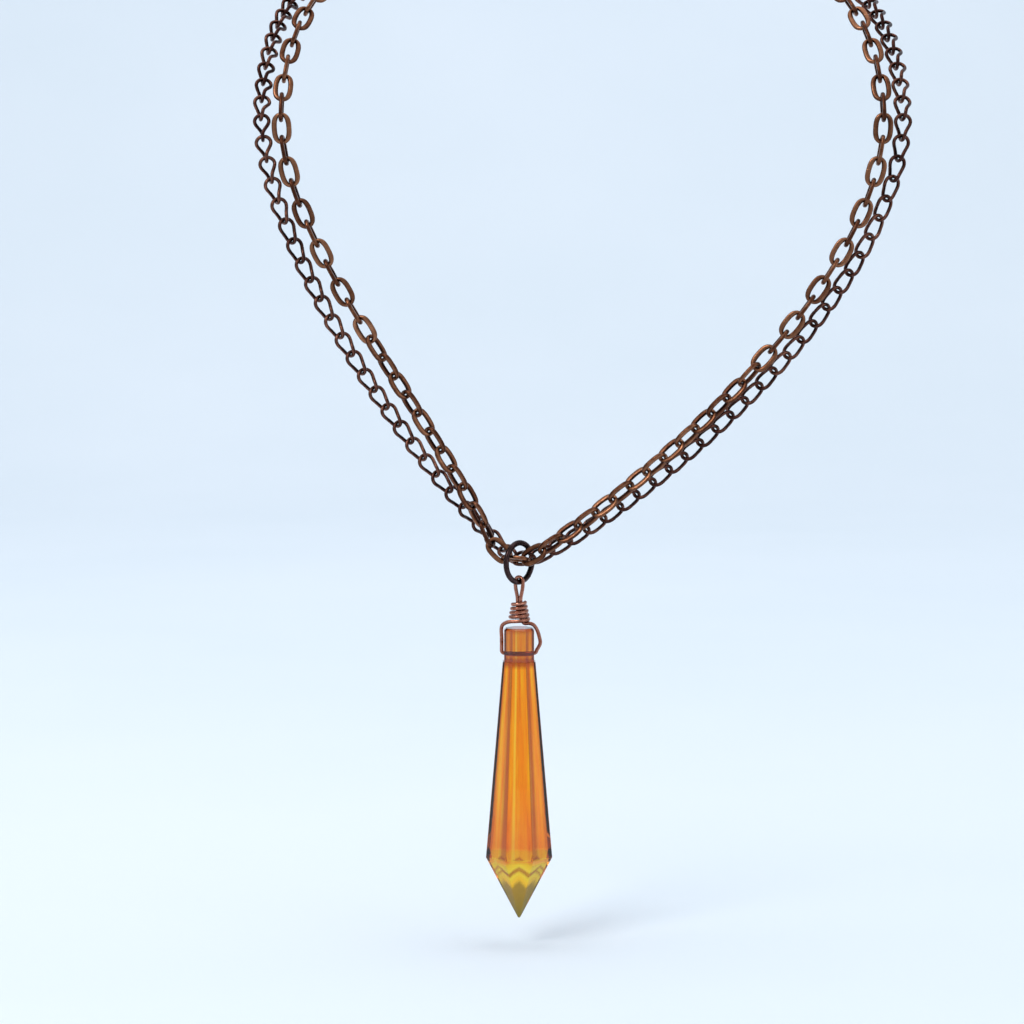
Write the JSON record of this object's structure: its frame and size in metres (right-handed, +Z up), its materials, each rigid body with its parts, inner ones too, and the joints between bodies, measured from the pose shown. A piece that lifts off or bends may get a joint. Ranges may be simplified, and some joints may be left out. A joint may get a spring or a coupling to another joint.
{
  "type": "pendant necklace",
  "caption": "Double-strand necklace of cable and curb chain, carrying a wire-wrapped icicle crystal on a jump ring, closed at the nape by a lobster clasp.",
  "frame": {"origin": "where the loop rests on the wearer's nape, midway between the two jump rings of the clasp, in the plane of those rings", "axes": "+Z up, +X to the right as seen from in front of the wearer, +Y backwards, away from the pendant side; hanging as worn"},
  "size_m": [0.139, 0.0743, 0.2197],
  "materials": {
    "cable_chain": "antique copper plate, rubbed bright on the high spots",
    "curb_chain": "antique copper plate, darker",
    "pendant_ring": "gunmetal plate, semi-gloss",
    "bail": "bare copper wire, light tarnish",
    "crystal": "clear amber, polished facets",
    "clasp": "antique copper plate",
    "spring": "spring wire"
  },
  "bodies": {
    "nape": {"cable_nape_left_1": "cable_chain", "cable_nape_left_2": "cable_chain", "cable_nape_left_3": "cable_chain", "cable_nape_right_1": "cable_chain", "cable_nape_right_2": "cable_chain", "cable_nape_right_3": "cable_chain", "curb_nape_left_1": "curb_chain", "curb_nape_left_2": "curb_chain", "curb_nape_left_3": "curb_chain", "curb_nape_right_1": "curb_chain", "curb_nape_right_2": "curb_chain", "curb_nape_right_3": "curb_chain", "end_ring_left": "clasp", "end_ring_right": "clasp"},
    "front": {"cable_middle": "cable_chain", "curb_middle": "curb_chain", "cable_front_left_1": "cable_chain", "cable_front_left_2": "cable_chain", "cable_front_left_3": "cable_chain", "cable_front_right_1": "cable_chain", "cable_front_right_2": "cable_chain", "cable_front_right_3": "cable_chain", "curb_front_left_1": "curb_chain", "curb_front_left_2": "curb_chain", "curb_front_left_3": "curb_chain", "curb_front_right_1": "curb_chain", "curb_front_right_2": "curb_chain", "curb_front_right_3": "curb_chain"},
    "pendant_ring": {"pendant_ring": "pendant_ring"},
    "bail": {"bail_wire": "bail"},
    "crystal": {"crystal_prism": "crystal"},
    "clasp": {"clasp_body": "clasp", "clasp_rivet": "clasp", "clasp_spring": "spring"},
    "lever": {"clasp_lever": "clasp"}
  },
  "joints": [
    {"name": "front_swing", "type": "hinge", "parent": "nape", "child": "front", "pos_m": [0, -0.064, -0.045], "axis": [-1, 0, 0], "range_deg": [-5, 40]},
    {"name": "ring_swing", "type": "hinge", "parent": "front", "child": "pendant_ring", "pos_m": [-0.01328, -0.06389, -0.13738], "axis": [0.8563, -0.5165, 0], "range_deg": [-6, 6]},
    {"name": "bail_swing", "type": "hinge", "parent": "pendant_ring", "child": "bail", "pos_m": [-0.01328, -0.064, -0.14379], "axis": [0.6561, 0.7547, 0], "range_deg": [-75, 75]},
    {"name": "crystal_rock", "type": "hinge", "parent": "bail", "child": "crystal", "pos_m": [-0.01328, -0.064, -0.15909], "axis": [1, 0, 0], "range_deg": [-8, 8]},
    {"name": "clasp_swivel", "type": "hinge", "parent": "nape", "child": "clasp", "pos_m": [-0.00377, 0, 0], "axis": [0, -1, 0], "range_deg": [-6, 6]},
    {"name": "lever_open", "type": "hinge", "parent": "clasp", "child": "lever", "pos_m": [-0.00077, 0, -0.0006], "axis": [0, -1, 0], "range_deg": [0, 24], "stiffness_Nm_per_rad": 0.00005, "springref_deg": -17.19}
  ]
}
